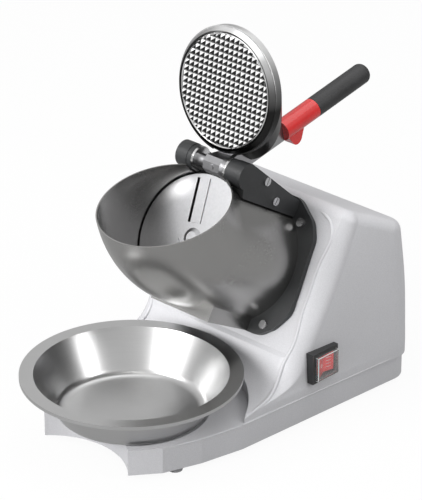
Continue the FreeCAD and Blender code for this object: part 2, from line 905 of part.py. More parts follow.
def disc_pieces():
    face = -disc_front
    disc = rod(disc_radius, (0, face, 0), disc_thickness, "y")
    pockets = blade_boxes(face - 1, blade_thickness - blade_proud + 1, 0)
    bore = rod(shaft_radius, (0, face - 1, 0), disc_thickness + 2, "y")
    slots = []
    for number in range(3):
        slot = box((blade_start, blade_start + blade_length), (face - 1, face + disc_thickness + 1),
                   (blade_width / 2, blade_width / 2 + 4))
        holder = group([slot])
        holder.Placement.Rotation = FreeCAD.Rotation(FreeCAD.Vector(0, 1, 0), number * 120 + 20)
        slots.append(holder)
    keep(cut(disc, pockets + slots + [bore]), "blade_disc", head)
    for number, block in enumerate(blade_boxes(face - blade_proud, blade_thickness, 0)):
        keep(group([block]), "blade_%d" % (number + 1), head)
    back = face + disc_thickness
    hub = ring_along_y(shaft_radius, hub_radius, back, back + 16)
    keep(hub, "disc_hub", head)
    cap = [(0, face - 2), (shaft_radius, face - 2), (hub_radius - 2, face), (0, face)]
    keep(lathe("XY_Plane", cap, "V_Axis"), "disc_screw", head)
    fins = [box((-1.5, 1.5), (back + 0.5, back + 15), (hub_radius, disc_radius - 4)),
            box((-1.5, 1.5), (back + 0.5, back + 15), (4 - disc_radius, -hub_radius))]
    keep(group(fins), "ejector_fins", head)


def motor_pieces():
    rear = motor_start + motor_length
    plate_back = plate_thickness + housing_wall + seat_gap
    bracket_end = plate_back + bracket_plate_thickness
    half = bracket_plate_half
    frame = box((-half, half), (plate_back, bracket_end), (-half, half))
    holes = [rod(screw_radius + screw_play, (x, 0, z), bracket_end * 2, "y")
             for x, z in both_sides([(screw_top_x, screw_top_up), (screw_low_x, -screw_low_up)])]
    holes.append(rod(bearing_radius, (0, 0, 0), bracket_end * 2, "y"))
    keep(cut(frame, holes), "motor_bracket", head)
    wall = motor_wall
    seat = bearing_radius
    front = [(seat, bracket_end), (bell_flange_radius, bracket_end),
             (bell_flange_radius, motor_start), (motor_radius - wall, motor_start),
             (motor_radius - wall, bracket_end + wall + 8), (seat + 3, bracket_end + wall + 2),
             (seat + 3, motor_start + 1), (seat, motor_start + 1)]
    bolts = tie_bolt_spots()
    shell = cut(lathe("XY_Plane", front, "V_Axis"), bolt_rods(bolts, screw_play, 0, rear * 2))
    keep(shell, "front_end_bell", head)
    back = [(seat, rear + bell_depth), (bell_flange_radius - 6, rear + bell_depth),
            (bell_flange_radius, rear + 5), (bell_flange_radius, rear),
            (motor_radius - wall, rear), (motor_radius - wall - 2, rear + bell_depth - wall),
            (seat + 3, rear + bell_depth - wall), (seat + 3, rear + 2), (seat, rear + 2)]
    shell = cut(lathe("XY_Plane", back, "V_Axis"), bolt_rods(bolts, screw_play, 0, rear * 2))
    keep(shell, "rear_end_bell", head)
    keep(group(bolt_rods(bolts, 0, bracket_end, rear + 7 - bracket_end)), "tie_bolts", head)
    keep(ring_along_y(motor_radius - wall, motor_radius, motor_start, rear), "motor_case", head)
    core_start = motor_start + (motor_length - core_length) / 2
    core_end = core_start + core_length
    keep(ring_along_y(core_bore, motor_radius - wall, core_start, core_end), "stator_core", head)
    coils = [ring_along_y(core_bore + 3, motor_radius - wall - 3, core_start - 8, core_start),
             ring_along_y(core_bore + 3, motor_radius - wall - 3, core_end, core_end + 8)]
    keep(group(coils), "stator_coils", head)
    keep(ring_along_y(shaft_radius, core_bore - air_gap, core_start, core_end), "rotor_core", head)
    fan_start = rear + bell_depth + 3
    shaft_end = fan_start + fan_width + 2
    shaft = ring_along_y(0, shaft_radius, -disc_front, shaft_end)
    keep(shaft, "motor_shaft", head)
    fit = shaft_radius + running_fit
    bearings = [ring_along_y(fit, bearing_radius, motor_start - bearing_width + 1, motor_start + 1),
                ring_along_y(fit, bearing_radius, rear + 2, rear + 2 + bearing_width)]
    keep(group(bearings), "shaft_bearings", head)
    keep(ring_along_y(fit, bearing_radius, 0, plate_thickness), "shaft_seal", head)
    vanes = [ring_along_y(shaft_radius, shaft_radius + 6, fan_start, fan_start + fan_width),
             ring_along_y(shaft_radius + 5, fan_radius, fan_start, fan_start + 1.5)]
    for number in range(8):
        vane = box((shaft_radius + 5, fan_radius), (fan_start + 1, fan_start + fan_width), (-0.8, 0.8))
        holder = group([vane])
        holder.Placement.Rotation = FreeCAD.Rotation(FreeCAD.Vector(0, 1, 0), number * 45)
        vanes.append(holder)
    keep(fuse(vanes), "cooling_fan", head)


def tie_bolt_spots():
    spots = []
    for degrees in (45, 135, 225, 315):
        angle = math.radians(degrees)
        spots.append((tie_bolt_circle * math.cos(angle), tie_bolt_circle * math.sin(angle)))
    return spots


def bolt_rods(spots, play, start, length):
    return [rod(screw_radius + play, (x, start, z), length, "y") for x, z in spots]


# ---------------------------------------------------------------- housing

def skirt_outline(sketch):
    """Plan of the base: prongs around a concave front arc, sides widening to a round-cornered back."""
    arc_y = -tip_y - root(front_arc_radius * front_arc_radius - tip_half_width * tip_half_width)
    half, back = rear_half_width - skirt_inset, rear_y - skirt_inset
    rear_x, rear_side = half - rear_corner, back - rear_corner
    right = [(tip_half_width, -tip_y), (prong_half_width, -prong_y), (cheek_half_width, -cheek_y),
             (middle_half_width, -middle_y), (half, rear_side, (rear_x, rear_side), False), (rear_x, back)]
    left = [(-rear_x, back, (-rear_x, rear_side), False), (-half, rear_side),
            (-middle_half_width, -middle_y), (-cheek_half_width, -cheek_y),
            (-prong_half_width, -prong_y), (-tip_half_width, -tip_y, (0, arc_y), True)]
    return draw(sketch, right + left)


def shrunk(sketch, inset):
    """The same outline, a given distance further in."""
    smaller = document.addObject("Part::Offset2D", "Inset")
    smaller.Source = sketch
    smaller.Value = -inset.value
    smaller.setExpression("Value", (-inset).text)
    smaller.Join = 2
    return smaller


def raised(face, height):
    height = as_size(height)
    item = document.addObject("Part::Extrusion", "Raised")
    item.Base = face
    item.DirMode = "Custom"
    item.Dir = FreeCAD.Vector(0, 0, 1)
    item.LengthFwd = height.value
    item.setExpression("LengthFwd", height.text)
    item.Solid = True
    return item


def face_y(z):
    """Where the housing's leaning front face stands at a given height."""
    lean = sine(head_tilt) / cosine(head_tilt)
    y, height = head.point(0, plate_thickness, 0)[1:]
    return y + lean * (z - height)


def tower_section(z, front, front_half, rear_half, rear, corner, inset):
    """One plan section of the tower, drawn a given distance inside its outer line."""
    sketch = sketch_on(None, "XY_Plane", z)
    radius = rear_corner - inset
    rear_x, rear_side = rear_half - rear_corner, rear - rear_corner
    front_x, front_side = front_half - corner, front + corner
    front_edge = front + inset
    return draw(sketch, [
        (front_x, front_edge, (front_x, front_side), False), (front_half - inset, front_side),
        (rear_half - inset, rear_side, (rear_x, rear_side), False), (rear_x, rear_side + radius),
        (-rear_x, rear_side + radius, (-rear_x, rear_side), False), (inset - rear_half, rear_side),
        (inset - front_half, front_side, (-front_x, front_side), False), (-front_x, front_edge)])


def tower(inset):
    """The upright part of the housing: plan sections rising and drawing in, under a sloping roof.

    The front is a flat face for the casting, and bends forward below it, at the chin.
    """
    inset = as_size(inset)
    wide, back, corner = rear_half_width, rear_y, tower_front_corner
    narrow = tower_front_half_width
    lip, low, shoulder = floor_z - lip_height - inset * 2, floor_z, floor_z + tower_shoulder_rise
    waist, chest = floor_z + tower_waist_rise, floor_z + tower_chest_rise
    crest, top = floor_z + tower_crest_rise, floor_z + tower_top_rise
    draw_in = tower_top_inset / 7
    levels = [
        (lip, -cheek_tip_y, tower_lip_half_width, wide, back, corner / 3),
        (low, -cheek_tip_y, tower_lip_half_width, wide, back, corner / 3),
        (shoulder, -shoulder_y, tower_shoulder_half_width, wide, back, corner * 0.7),
        (waist, face_y(waist) - tower_waist_setback, narrow, wide - draw_in, back, corner),
        (chest, face_y(chest) - tower_setback, narrow - draw_in, wide - draw_in * 2, back - draw_in, corner),
        (crest, face_y(crest) - tower_setback, narrow - draw_in * 3, wide - draw_in * 5,
         back - draw_in * 5, corner),
        (top, face_y(top) - tower_setback, narrow - tower_top_inset, wide - tower_top_inset,
         back - draw_in * 8, corner)]
    loft = document.addObject("Part::Loft", "Tower")
    loft.Sections = [tower_section(*level, inset) for level in levels]
    loft.Solid = True
    reach = rear_half_width * 1.5
    front_block = box((-reach, reach), (-reach, plate_thickness + inset), (-plate_bottom - 6, reach))
    chin_top = head.point(0, plate_thickness, -plate_bottom - 6)
    chin = Frame(chin_top[1], chin_top[2], -head_tilt - chin_lean)
    chin_block = box((-reach, reach), (-reach, inset), (-chin_length, inset))
    roof_block = box((-reach, reach), (-reach, reach), (-inset, reach))
    apex = head.point(0, plate_thickness, roof_up)
    roof = Frame(apex[1], apex[2], -roof_slope)
    block = cut(loft, [head.place(group([front_block])), chin.place(group([chin_block])),
                       roof.place(group([roof_block]))])

    def on_roof(point):
        slope = math.radians(roof_slope.value)
        rise = (point.y - apex[1].value) * math.sin(slope) + (point.z - apex[2].value) * math.cos(slope)
        return abs(rise + inset.value) < 0.05

    def roof_edge(edge):
        middle = edge.valueAt((edge.FirstParameter + edge.LastParameter) / 2)
        return all(on_roof(point) for point in [vertex.Point for vertex in edge.Vertexes] + [middle])

    return rounded(block, roof_round - inset, roof_edge)


def cover_screw_posts():
    """Where the base cover is screwed: two posts under the platform, two against the side walls."""
    return both_sides([(post_front_x, -post_front_y), (post_rear_x, post_rear_y)])


def foot_spots():
    return both_sides([(foot_front_x, -foot_front_y), (foot_rear_x, foot_rear_y)])


def housing():
    wall = housing_wall
    plan = skirt_outline(sketch_on(None, "XY_Plane", foot_height))
    outer = fuse([raised(plan, skirt_height), tower(0)])
    cove = rod(cove_radius, (0, -bowl_y, floor_z), cove_radius)
    recess = rod(recess_radius, (0, -bowl_y, floor_z - recess_depth), recess_radius)
    inner_skirt = raised(shrunk(plan, wall), skirt_height - recess_depth - wall)
    inner_tower = cut(tower(wall), [rod(cove_radius + wall, (0, -bowl_y, 0), cove_radius * 2)])
    bolts = [rod(screw_radius + screw_play, (x, 0, z), plate_thickness * 3, "y")
             for x, z in both_sides([(screw_top_x, screw_top_up), (screw_low_x, -screw_low_up)])]
    front_holes = head.place(group(bolts + [rod(bearing_radius + 1, (0, 0, 0), plate_thickness * 3, "y")]))
    switch_hole = box((switch_back, rear_half_width + 5),
                      (switch_y - switch_body_half_length, switch_y + switch_body_half_length),
                      (switch_z - switch_body_half_height, switch_z + switch_body_half_height))
    gland_hole = rod(gland_radius, (gland_x, rear_y - rear_corner, gland_z), rear_corner * 2, "y")
    vents = [box((-vent_half_length, vent_half_length), (rear_y - 20, rear_y + 5),
                 (vent_low + vent_pitch * row, vent_low + vent_pitch * row + vent_height))
             for row in range(7)]
    bay_half_y, bay_half_z = switch_half_length + wall, switch_half_height + wall
    bay = common([outer, box((switch_seat - switch_bay_depth, rear_half_width),
                             (switch_y - bay_half_y, switch_y + bay_half_y),
                             (switch_z - bay_half_z, switch_z + bay_half_z))])
    switch_recess = box((switch_seat, rear_half_width),
                        (switch_y - switch_half_length, switch_y + switch_half_length),
                        (switch_z - switch_half_height, switch_z + switch_half_height))
    hollow = cut(outer, [cove, recess, inner_skirt, inner_tower])
    shell = cut(fuse([hollow, bay]), [front_holes, switch_hole, switch_recess, gland_hole] + vents)
    top = floor_z - recess_depth - wall / 2
    base = foot_height + cover_thickness + seat_gap
    posts = [rod(post_radius, (x, y, base), top - base) for x, y in cover_screw_posts()]
    pilots = [rod(screw_radius + screw_play, (x, y, 0), base + cover_screw_length)
              for x, y in cover_screw_posts()]
    keep(cut(fuse([shell] + posts), pilots), "housing")


def base_cover():
    plan = skirt_outline(sketch_on(None, "XY_Plane", foot_height))
    cover = raised(shrunk(plan, housing_wall + seat_gap), cover_thickness)
    holes = [rod(screw_radius + screw_play, (x, y, 0), foot_height * 2)
             for x, y in cover_screw_posts() + foot_spots()]
    vents = [box((-vent_half_length, vent_half_length),
                 (vent_pitch * row, vent_pitch * row + vent_height), (0, foot_height * 2))
             for row in range(3, 13)]
    keep(cut(cover, holes + vents), "base_cover")
    screws = [screw((x, y, foot_height), cover_thickness + cover_screw_length, "z")
              for x, y in cover_screw_posts()]
    keep(group(screws), "cover_screws")


def feet():
    seat = foot_height / 2
    bore = screw_radius + screw_play
    profile = [(bore, seat), (screw_head_radius + 0.5, seat), (screw_head_radius + 0.5, 0),
               (foot_radius - 1, 0), (foot_radius, foot_height), (bore, foot_height)]
    names = ["front_left", "front_right", "rear_left", "rear_right"]
    for name, (x, y) in zip(names, foot_spots()):
        keep(lathe("XZ_Plane", profile, "V_Axis"), "foot_" + name, model, x, y)
    nut_z = foot_height + cover_thickness
    screws = [screw((x, y, seat), nut_z + 4 - seat, "z") for x, y in foot_spots()]
    keep(group(screws), "foot_screws")
    nuts = [cut(rod(screw_head_radius, (x, y, nut_z), 3), [rod(screw_radius, (x, y, nut_z - 1), 5)])
            for x, y in foot_spots()]
    keep(group(nuts), "foot_nuts")


# ---------------------------------------------------------------- bowl

def bowl():
    """A spun bowl: flat base, bend, straight flared wall, wide flange with a turned-down edge."""
    def side(radius, top):
        bend = (bowl_base_radius + radius * sine(bowl_slope), bowl_bend - radius * cosine(bowl_slope))
        reach = (top - bend[1]) * cosine(bowl_slope) / sine(bowl_slope)
        return bend, (bend[0] + reach, top)

    centre = (bowl_base_radius, bowl_bend)
    outer_bend, outer_top = side(bowl_bend, bowl_height - bowl_wall)
    inner_bend, inner_top = side(bowl_bend - bowl_wall, bowl_height)
    edge = bowl_rim_radius - bowl_wall * 1.5
    profile = [(0, 0), (bowl_base_radius, 0, centre, False), outer_bend, outer_top,
               (edge, bowl_height - bowl_wall), (edge, bowl_height - bowl_wall * 3.5),
               (bowl_rim_radius, bowl_height - bowl_wall * 3.5), (bowl_rim_radius, bowl_height),
               inner_top, (inner_bend[0], inner_bend[1], centre, True), (bowl_base_radius, bowl_wall),
               (0, bowl_wall)]
    rest = floor_z - recess_depth + seat_gap
    keep(lathe("XZ_Plane", profile, "V_Axis"), "bowl", model, 0, -bowl_y, rest)


# ---------------------------------------------------------------- switch and electrics

def switch_pieces():
    half_y, half_z = switch_half_length, switch_half_height
    window_y, window_z = rocker_half_length + 1, rocker_half_height + 1
    inner_y, inner_z = switch_body_half_length - seat_gap, switch_body_half_height - seat_gap
    flange = box((switch_seat, switch_face), (switch_y - half_y, switch_y + half_y),
                 (switch_z - half_z, switch_z + half_z))
    barrel = box((switch_back, switch_seat), (switch_y - inner_y, switch_y + inner_y),
                 (switch_z - inner_z, switch_z + inner_z))
    well = box((switch_face - rocker_depth, switch_face + 1), (switch_y - window_y, switch_y + window_y),
               (switch_z - window_z, switch_z + window_z))
    pin_half = window_z + rocker_pin_reach
    socket = rod(rocker_pin_radius + running_fit, (rocker_pivot_x, switch_y, switch_z - pin_half - seat_gap),
                 (pin_half + seat_gap) * 2)
    keep(cut(fuse([flange, barrel]), [well, socket]), "switch_body")
    length, rise = rocker_half_length, rocker_rise
    rocker = [(-rocker_root, -length / 2), (rise, -length), (rise / 3, 0), (rise, length),
              (-rocker_root, length / 2)]
    body = plate_on("XY_Plane", rocker, -rocker_half_height, rocker_half_height * 2)
    pad(body, draw_circle(sketch_on(body, "XY_Plane", -pin_half), 0, 0, rocker_pin_radius), pin_half * 2)
    keep(body, "rocker", model, rocker_pivot_x, switch_y, switch_z)
    body.Placement.Rotation = FreeCAD.Rotation(FreeCAD.Vector(0, 0, 1), rocker_tilt.value)
    body.setExpression("Placement.Rotation.Angle", rocker_tilt.text)
    cover_y, cover_z = window_y + 2, window_z + 2
    out = switch_face + splash_height
    cover = box((switch_face, out), (switch_y - cover_y, switch_y + cover_y),
                (switch_z - cover_z, switch_z + cover_z))
    hollow = box((switch_face - 1, out - 0.8), (switch_y - cover_y + 0.8, switch_y + cover_y - 0.8),
                 (switch_z - cover_z + 0.8, switch_z + cover_z - 0.8))
    keep(cut(cover, [hollow]), "splash_cover")
    tabs = [box((switch_back - 8, switch_back), (switch_y + shift - 0.4, switch_y + shift + 0.4),
                (switch_z - 3, switch_z + 3)) for shift in (-9, -3, 3, 9)]
    top = foot_height + cover_thickness + capacitor_height + 2
    tabs += [box((-capacitor_x + shift - 3, -capacitor_x + shift + 3),
                 (capacitor_y - 0.4, capacitor_y + 0.4), (top, top + 7)) for shift in (-6, 6)]
    keep(group(tabs), "spade_tabs")


def electric_pieces():
    flange_y = rear_y - skirt_inset
    gland = [(gland_bore, flange_y - 16), (gland_radius - running_fit, flange_y - 16),
             (gland_radius - running_fit, flange_y), (gland_radius + 3, flange_y),
             (gland_radius + 3, flange_y + 3), (gland_radius - 1, flange_y + 12), (gland_bore, flange_y + 12)]
    keep(lathe("XY_Plane", gland, "V_Axis"), "cord_gland", model, gland_x, 0, gland_z)
    floor = foot_height + cover_thickness
    can = rod(capacitor_radius, (-capacitor_x, capacitor_y, floor), capacitor_height)
    neck = rod(capacitor_radius * 0.8, (-capacitor_x, capacitor_y, floor), capacitor_height + 2)
    keep(fuse([can, neck]), "capacitor")
    block = box((-terminal_x - 20, -terminal_x + 20), (terminal_y - 8, terminal_y + 8), (floor, floor + 14))
    wells = [rod(2.4, (x - terminal_x, y + terminal_y, floor + 6), 10)
             for x in (-14, -4.7, 4.7, 14) for y in (-4, 4)]
    keep(cut(block, wells), "terminal_block")


def interlock_pieces():
    """A small switch on the casting's bridge whose plunger points up."""
    front = -bridge_front + 2
    body = box((-24, -10), (front, front + 12), (bridge_high, bridge_high + 8))
    well = rod(2 + running_fit, (-17, front + 6, bridge_high + 3), 10)
    keep(cut(body, [well]), "interlock_body", head)
    stem = rod(2, (-17, front + 6, bridge_high + 5), 5)
    keep(group([stem]), "interlock_plunger", head)


# ---------------------------------------------------------------- build and write

hopper()
chute()
casting()
hinge_pieces()
stop_pad()
lid_pieces()
lever_pieces()
disc_pieces()
motor_pieces()
housing()
base_cover()
feet()
bowl()
switch_pieces()
electric_pieces()
interlock_pieces()

document.recompute()
for item in document.Objects:
    assert "Invalid" not in item.State and "Error" not in item.State, item.Label
for node in nodes:
    assert not node.Shape.isNull() and node.Shape.isValid(), node.Label
    node.Shape.exportStep("parts/%s.step" % node.Label)
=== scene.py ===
import json
import math
import bmesh
import bpy
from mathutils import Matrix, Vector
from mathutils.bvhtree import BVHTree


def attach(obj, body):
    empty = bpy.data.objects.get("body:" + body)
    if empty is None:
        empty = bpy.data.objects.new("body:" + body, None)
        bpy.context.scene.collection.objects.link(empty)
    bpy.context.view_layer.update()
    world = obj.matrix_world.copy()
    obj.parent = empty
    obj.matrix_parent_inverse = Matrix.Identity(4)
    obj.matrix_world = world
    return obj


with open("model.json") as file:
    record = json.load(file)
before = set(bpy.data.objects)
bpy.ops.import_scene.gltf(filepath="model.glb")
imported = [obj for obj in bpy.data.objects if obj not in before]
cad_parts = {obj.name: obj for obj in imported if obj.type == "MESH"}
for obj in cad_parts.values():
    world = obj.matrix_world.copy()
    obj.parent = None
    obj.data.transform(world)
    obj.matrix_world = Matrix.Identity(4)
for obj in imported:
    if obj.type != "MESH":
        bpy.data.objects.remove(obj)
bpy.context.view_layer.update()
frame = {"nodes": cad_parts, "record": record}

nodes = frame["nodes"]

# Everything is in metres in the row frame: +X is the switch side, +Y the back, +Z up.
MM = 0.001
HEAD_TILT = math.radians(31.5)
LID_LEAN = math.radians(8)
PLATE = Vector((0, 50.2, 140.5)) * MM
FLOOR_Z = 33 * MM
SWITCH = Vector((117.4, 47, 61.5)) * MM
SWITCH_COVER = Vector((4.4, 14.5, 12.5)) * MM

# Rays that measure a piece start this far from the middle, outside everything.
OUTSIDE = 200 * MM

# The head's axes: ALONG runs with the motor shaft into the housing, UPWARD lies in the plate's face.
ALONG = Vector((0, math.cos(HEAD_TILT), -math.sin(HEAD_TILT)))
UPWARD = Vector((0, math.sin(HEAD_TILT), math.cos(HEAD_TILT)))
LID_UP = Vector((0, math.sin(LID_LEAN), math.cos(LID_LEAN)))

# The heights between which the open lid's shell goes from dark to light, a painted shade on its lower part
# and painted light on its top.
SHELL_PAINTED_DARK, SHELL_PAINTED_LIGHT = 310 * MM, 400 * MM

# How much of the white backdrop shows in polished surfaces, in the sky and in the floor.
GLOSSY_SKY, GLOSSY_FLOOR = 0.3, 0.25

# How much of the floor the camera sees as plain white. The rest keeps the shadows.
FLOOR_GLOW = 0.86

# Faces that meet at less than this angle are shaded as one smooth surface.
SMOOTH_BELOW = math.radians(32)


# ---------------------------------------------------------------- materials

def new_material(name):
    material = bpy.data.materials.new(name)
    material.use_nodes = True
    return material, material.node_tree, material.node_tree.nodes["Principled BSDF"]


def add(tree, kind, **inputs):
    """Add a shader node and set its plain inputs by name."""
    node = tree.nodes.new(kind)
    for name, value in inputs.items():
        node.inputs[name.replace("_", " ")].default_value = value
    return node


def link(tree, source, target):
    tree.links.new(source, target)


def object_coordinates(tree, scale=(1, 1, 1), rotation=(0, 0, 0)):
    """Object coordinates in metres, stretched and turned."""
    coordinates = tree.nodes.new("ShaderNodeTexCoord")
    mapping = tree.nodes.new("ShaderNodeMapping")
    mapping.inputs["Scale"].default_value = scale
    mapping.inputs["Rotation"].default_value = rotation
    link(tree, coordinates.outputs["Object"], mapping.inputs["Vector"])
    return mapping.outputs["Vector"]


def noise(tree, vector, scale, detail=3, roughness=0.5):
    node = add(tree, "ShaderNodeTexNoise", Scale=scale, Detail=detail, Roughness=roughness)
    link(tree, vector, node.inputs["Vector"])
    return node.outputs["Fac"]


def ramp(tree, factor, stops):
    """A colour ramp; each stop is (position, grey or colour)."""
    node = tree.nodes.new("ShaderNodeValToRGB")
    elements = node.color_ramp.elements
    while len(elements) < len(stops):
        elements.new(0.5)
    for element, (position, colour) in zip(elements, stops):
        element.position = position
        if isinstance(colour, (int, float)):
            colour = (colour, colour, colour)
        element.color = (*colour, 1)
    link(tree, factor, node.inputs["Fac"])
    return node.outputs["Color"]


def spread(tree, factor, low, high, start=0, end=1):
    """Map a factor that runs from start to end onto a low to high value."""
    node = add(tree, "ShaderNodeMapRange")
    node.inputs["From Min"].default_value = start
    node.inputs["From Max"].default_value = end
    node.inputs["To Min"].default_value = low
    node.inputs["To Max"].default_value = high
    link(tree, factor, node.inputs["Value"])
    return node.outputs["Result"]


def combine(tree, operation, *values):
    """A maths node. Each value is a number or the output of another node."""
    node = tree.nodes.new("ShaderNodeMath")
    node.operation = operation
    for socket, value in zip(node.inputs, values):
        if isinstance(value, (int, float)):
            socket.default_value = value
        else:
            link(tree, value, socket)
    return node.outputs["Value"]


def bump(tree, shader, height, distance, strength=1.0):
    node = add(tree, "ShaderNodeBump", Strength=strength, Distance=distance)
    link(tree, height, node.inputs["Height"])
    link(tree, node.outputs["Normal"], shader.inputs["Normal"])


def tint(colour, factor):
    return tuple(min(1.0, part * factor) for part in colour)


def multiplied(tree, first, second):
    """One colour darkened by another."""
    node = tree.nodes.new("ShaderNodeMix")
    node.data_type = "RGBA"
    node.blend_type = "MULTIPLY"
    node.inputs["Factor"].default_value = 1
    link(tree, first, node.inputs["A"])
    link(tree, second, node.inputs["B"])
    return node.outputs["Result"]


def textured_plastic(name, colour, grain=900, roughness=0.5, depth=0.00005, flake=0.0, speckle=0.04):
    """Moulded plastic: fine grain, speckle, slight unevenness of tone, optional metallic flake."""
    material, tree, shader = new_material(name)
    place = object_coordinates(tree)
    fine = noise(tree, place, grain, 2)
    broad = noise(tree, place, 9, 3)
    tone = ramp(tree, broad, [(0.3, tint(colour, 0.97)), (0.7, tint(colour, 1.03))])
    spots = ramp(tree, fine, [(0.35, 1 - speckle * 2), (0.65, 1.0)])
    link(tree, multiplied(tree, tone, spots), shader.inputs["Base Color"])
    link(tree, spread(tree, fine, roughness - 0.08, roughness + 0.08), shader.inputs["Roughness"])
    shader.inputs["Metallic"].default_value = flake
    bump(tree, shader, fine, depth)
    return material


def brushed_metal(name, colour, stretch, rough=(0.22, 0.4), depth=0.00002, scale=60, tone=(0.9, 1.06)):
    """Metal with fine lines drawn along the stretched direction."""
    material, tree, shader = new_material(name)
    place = object_coordinates(tree, stretch)
    lines = noise(tree, place, scale, 5, 0.65)
    broad = noise(tree, object_coordinates(tree), 14, 2)
    shader.inputs["Metallic"].default_value = 1.0
    link(tree, ramp(tree, lines, [(0.25, tint(colour, tone[0])), (0.75, tint(colour, tone[1]))]),
         shader.inputs["Base Color"])
    wear = combine(tree, "MULTIPLY", lines, broad)
    link(tree, spread(tree, wear, rough[0], rough[1], 0.1, 0.45), shader.inputs["Roughness"])
    bump(tree, shader, lines, depth)
    return material


def polished_metal(name, colour, roughness=0.12):
    material, tree, shader = new_material(name)
    smear = noise(tree, object_coordinates(tree), 55, 4, 0.6)
    shader.inputs["Metallic"].default_value = 1.0
    link(tree, ramp(tree, smear, [(0.3, tint(colour, 0.93)), (0.7, tint(colour, 1.03))]),
         shader.inputs["Base Color"])
    link(tree, spread(tree, smear, roughness * 0.7, roughness * 1.6), shader.inputs["Roughness"])
    bump(tree, shader, smear, 0.00002, 0.4)
    return material


def painted_casting(name, colour, roughness=0.38):
    """Paint over cast metal: pebbled surface and worn, duller patches."""
    material, tree, shader = new_material(name)
    place = object_coordinates(tree)
    pebble = noise(tree, place, 420, 3)
    patch = noise(tree, place, 30, 4)
    link(tree, ramp(tree, patch, [(0.35, tint(colour, 0.8)), (0.7, tint(colour, 1.35))]),
         shader.inputs["Base Color"])
    link(tree, spread(tree, patch, roughness - 0.1, roughness + 0.14), shader.inputs["Roughness"])
    bump(tree, shader, pebble, 0.00008, 0.8)
    return material


def rubber(name, colour, roughness=0.6):
    material, tree, shader = new_material(name)
    place = object_coordinates(tree)
    fine = noise(tree, place, 700, 2)
    dust = noise(tree, place, 60, 4)
    link(tree, ramp(tree, dust, [(0.35, tint(colour, 0.85)), (0.75, tint(colour, 1.5))]),
         shader.inputs["Base Color"])
    link(tree, spread(tree, dust, roughness - 0.1, roughness + 0.15), shader.inputs["Roughness"])
    bump(tree, shader, fine, 0.00006)
    return material


def glossy_plastic(name, colour, roughness=0.2, coat=0.4):
    material, tree, shader = new_material(name)
    place = object_coordinates(tree)
    flow = noise(tree, place, 40, 3)
    link(tree, ramp(tree, flow, [(0.3, tint(colour, 0.88)), (0.7, tint(colour, 1.08))]),
         shader.inputs["Base Color"])
    link(tree, spread(tree, flow, roughness * 0.7, roughness * 1.5), shader.inputs["Roughness"])
    shader.inputs["Coat Weight"].default_value = coat
    shader.inputs["Coat Roughness"].default_value = 0.08
    bump(tree, shader, noise(tree, place, 320, 2), 0.00002, 0.6)
    return material


def toothed_steel_painted_shade(name, bright, dark):
    """Steel pyramids with painted shade: the two sides away from the light, the right and the lower one,
    are coloured dark.
    """
    material, tree, shader = new_material(name)
    coordinates = tree.nodes.new("ShaderNodeTexCoord")
    away = (Vector((1, 0, 0)) - LID_UP).normalized()
    facing = tree.nodes.new("ShaderNodeVectorMath")
    facing.operation = "DOT_PRODUCT"
    facing.inputs[1].default_value = away
    link(tree, coordinates.outputs["Normal"], facing.inputs[0])
    smear = noise(tree, coordinates.outputs["Object"], 140, 3)
    # Painted shade: the facets that turn right and down are coloured dark by their direction alone,
    # whatever the lamps do.
    steel = ramp(tree, facing.outputs["Value"], [(0.15, bright), (0.3, dark)])
    link(tree, multiplied(tree, steel, ramp(tree, smear, [(0.3, 0.86), (0.7, 1.0)])),
         shader.inputs["Base Color"])
    link(tree, spread(tree, smear, 0.25, 0.4), shader.inputs["Roughness"])
    shader.inputs["Metallic"].default_value = 0.45
    bump(tree, shader, smear, 0.00002, 0.5)
    return material


def painted_shade_steel(name, low, high, colours):
    """Satin steel with painted shade: it goes from one tone at a low height to another at a high one."""
    material, tree, shader = new_material(name)
    coordinates = tree.nodes.new("ShaderNodeTexCoord")
    parts = tree.nodes.new("ShaderNodeSeparateXYZ")
    link(tree, coordinates.outputs["Object"], parts.inputs["Vector"])
    height = spread(tree, parts.outputs["Z"], 0, 1, low, high)
    smear = noise(tree, coordinates.outputs["Object"], 70, 3)
    # Painted shade and light: the tone follows the height alone, not the lamps.
    tone = ramp(tree, height, [(0.1, colours[0]), (0.9, colours[1])])
    link(tree, multiplied(tree, tone, ramp(tree, smear, [(0.3, 0.94), (0.7, 1.0)])),
         shader.inputs["Base Color"])
    link(tree, spread(tree, smear, 0.24, 0.36), shader.inputs["Roughness"])
    shader.inputs["Metallic"].default_value = 1.0
    bump(tree, shader, smear, 0.00001, 0.5)
    return material


def clear_plastic(name):
    material, tree, shader = new_material(name)
    haze = noise(tree, object_coordinates(tree), 90, 3)
    link(tree, ramp(tree, haze, [(0.3, 0.93), (0.7, 1.0)]), shader.inputs["Base Color"])
    link(tree, spread(tree, haze, 0.0, 0.05), shader.inputs["Roughness"])
    shader.inputs["Transmission Weight"].default_value = 0.94
    shader.inputs["IOR"].default_value = 1.42
    return material


def laminated(name, colour):
    """Stacked steel sheets: thin dark lines across the motor axis."""
    material, tree, shader = new_material(name)
    place = object_coordinates(tree, (1, 1, 1), (HEAD_TILT, 0, 0))
    wave = add(tree, "ShaderNodeTexWave", Scale=620, Distortion=0.4, Detail=2)
    wave.bands_direction = "Y"
    link(tree, place, wave.inputs["Vector"])
    link(tree, ramp(tree, wave.outputs["Fac"], [(0.2, tint(colour, 0.5)), (0.6, tint(colour, 1.15))]),
         shader.inputs["Base Color"])
    shader.inputs["Metallic"].default_value = 0.8
    link(tree, spread(tree, wave.outputs["Fac"], 0.6, 0.4), shader.inputs["Roughness"])
    bump(tree, shader, wave.outputs["Fac"], 0.0001)
    return material


